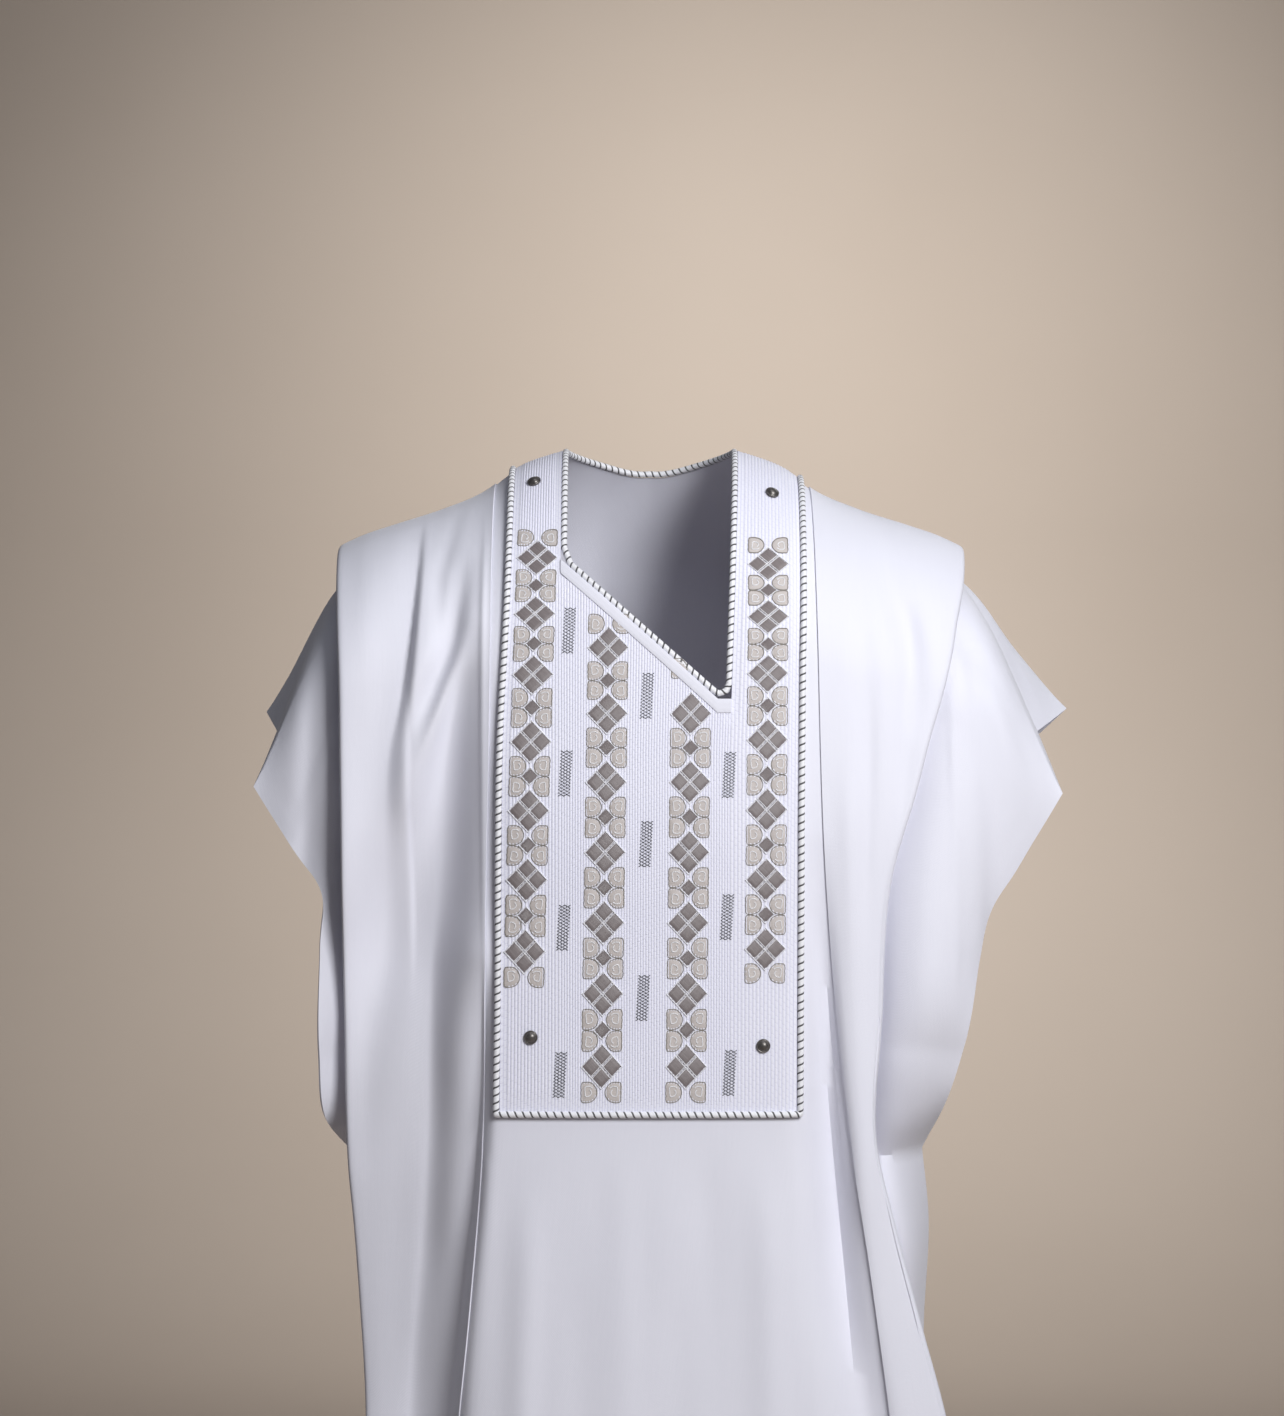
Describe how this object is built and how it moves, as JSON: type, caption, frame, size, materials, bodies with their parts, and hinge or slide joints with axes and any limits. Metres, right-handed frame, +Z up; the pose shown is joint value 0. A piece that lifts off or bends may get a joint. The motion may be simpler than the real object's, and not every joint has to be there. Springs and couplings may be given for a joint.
{
  "type": "grand boubou robe",
  "caption": "Wide white boubou robe with a ribbed, embroidered yoke, asymmetric corded neck, pleated shoulders and open sleeves.",
  "frame": {"origin": "base of the neck, level with the two points where the robe leaves the neck, on the line of the shoulder seams", "axes": "+Z up, +X to the wearer's left, -Y to the front"},
  "size_m": [0.707, 0.3713, 1.3827],
  "materials": {
    "robe_cloth": "crisp white cotton, soft sheen",
    "yoke_cloth": "white ribbed cloth with taupe and beige embroidery",
    "piping": "twisted two-colour cord, white and dark grey",
    "studs": "dark grey domed studs, satin"
  },
  "bodies": {
    "root": {"front_centre": "robe_cloth", "front_left": "robe_cloth", "front_right": "robe_cloth", "back_centre": "robe_cloth", "back_left": "robe_cloth", "back_right": "robe_cloth", "yoke": "yoke_cloth", "neck_band": "yoke_cloth", "neck_piping": "piping", "yoke_piping": "piping", "stud_1": "studs", "stud_2": "studs", "stud_3": "studs", "stud_4": "studs"}
  },
  "joints": []
}
